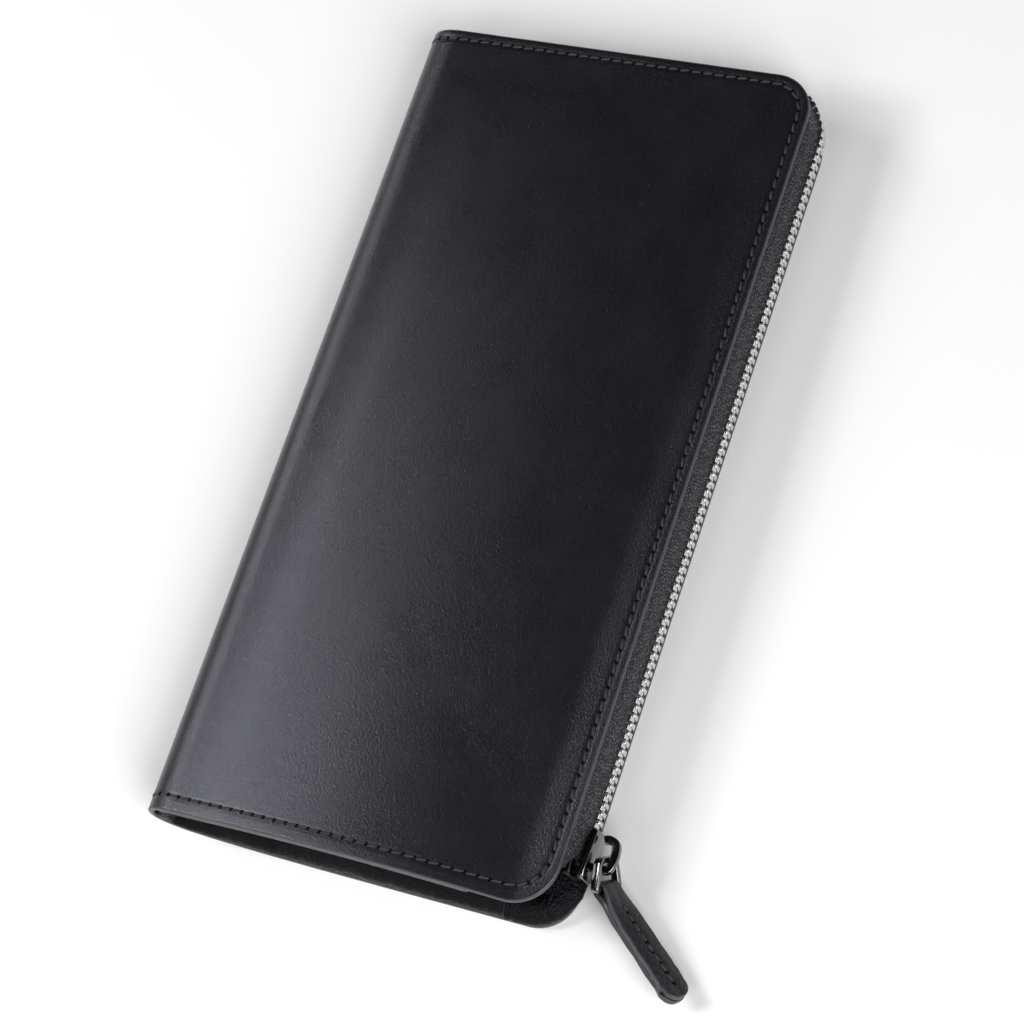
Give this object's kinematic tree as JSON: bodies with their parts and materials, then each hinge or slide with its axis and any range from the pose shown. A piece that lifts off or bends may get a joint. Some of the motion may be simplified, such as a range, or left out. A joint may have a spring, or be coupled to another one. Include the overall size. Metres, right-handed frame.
{
  "type": "long wallet",
  "caption": "Long leather wallet closed on two sides by an L-shaped metal zip, with a folded gusset, a ring slider, a leather pull tab, card slots and a coin pocket.",
  "frame": {"origin": "centre of the back cover's outer face, on the surface the wallet lies on", "axes": "+Z out of the front cover, through the thickness; +Y along the spine towards the zipped short end; +X from the spine to the zipped long side"},
  "size_m": [0.1279, 0.2068, 0.0209],
  "materials": {
    "outer_leather": "smooth fine-grained black leather",
    "gusset_leather": "soft pebbled black leather",
    "pocket_leather": "thin matt black leather",
    "tab_leather": "smooth black leather with painted edges",
    "lining": "black woven lining",
    "stiffener": "fibre board",
    "thread": "waxed black thread",
    "zip_tape": "black herringbone tape",
    "zip_metal": "bright nickel",
    "slider_metal": "dark polished nickel"
  },
  "bodies": {
    "back": {"back_cover": "outer_leather", "back_board": "stiffener", "back_lining": "lining", "back_stitching": "thread", "back_zip_tape": "zip_tape", "back_zip_teeth": "zip_metal", "back_top_stop": "zip_metal", "zip_bottom_stop": "zip_metal", "spine_cover": "outer_leather", "spine_lining": "lining", "bottom_gusset": "gusset_leather", "corner_gusset": "gusset_leather", "card_strip_1": "pocket_leather", "card_strip_2": "pocket_leather", "card_strip_3": "pocket_leather", "card_strip_4": "pocket_leather", "card_seam": "thread"},
    "front": {"front_cover": "outer_leather", "front_board": "stiffener", "front_lining": "lining", "front_slip_pocket": "pocket_leather", "front_stitching": "thread", "front_zip_tape": "zip_tape", "front_zip_teeth": "zip_metal", "front_top_stop": "zip_metal"},
    "divider": {"coin_wall_back": "pocket_leather", "coin_wall_front": "pocket_leather", "coin_fold": "pocket_leather", "coin_gusset_bottom": "gusset_leather", "coin_gusset_top": "gusset_leather", "coin_binding_back": "pocket_leather", "coin_binding_front": "pocket_leather", "coin_stitching": "thread"},
    "slider": {"slider_body": "slider_metal", "slider_crown": "slider_metal"},
    "link": {"pull_link": "slider_metal"},
    "tab": {"pull_tab": "tab_leather", "pull_tab_stitching": "thread"}
  },
  "joints": [
    {"name": "cover_hinge", "type": "hinge", "parent": "back", "child": "front", "pos_m": [-0.04075, 0, 0.0085], "axis": [0, -1, 0], "range_deg": [0, 35], "deforming": ["spine_cover", "spine_lining", "bottom_gusset", "corner_gusset"]},
    {"name": "divider_hinge", "type": "hinge", "parent": "back", "child": "divider", "pos_m": [-0.04075, 0, 0.0085], "axis": [0, -1, 0], "range_deg": [0, 17.5]},
    {"name": "zip_slide", "type": "slide", "parent": "back", "child": "slider", "axis": [0, 1, 0], "range_m": [0, 0.163], "deforming": ["back_zip_teeth", "front_zip_teeth"]},
    {"name": "link_swing", "type": "hinge", "parent": "slider", "child": "link", "pos_m": [0.05515, -0.0823, 0.0085], "axis": [0, 0, 1], "range_deg": [-5, 90]},
    {"name": "tab_swing", "type": "hinge", "parent": "link", "child": "tab", "pos_m": [0.05615, -0.08768, 0.00604], "axis": [-0.252, -0.4412, 0.8613], "range_deg": [-45, 45]}
  ],
  "couplings": [
    {"joint": "divider_hinge", "follows": "cover_hinge", "ratio": 0.5},
    {"joint": "zip_slide", "follows": "cover_hinge", "m_per_rad": 0.26683}
  ]
}
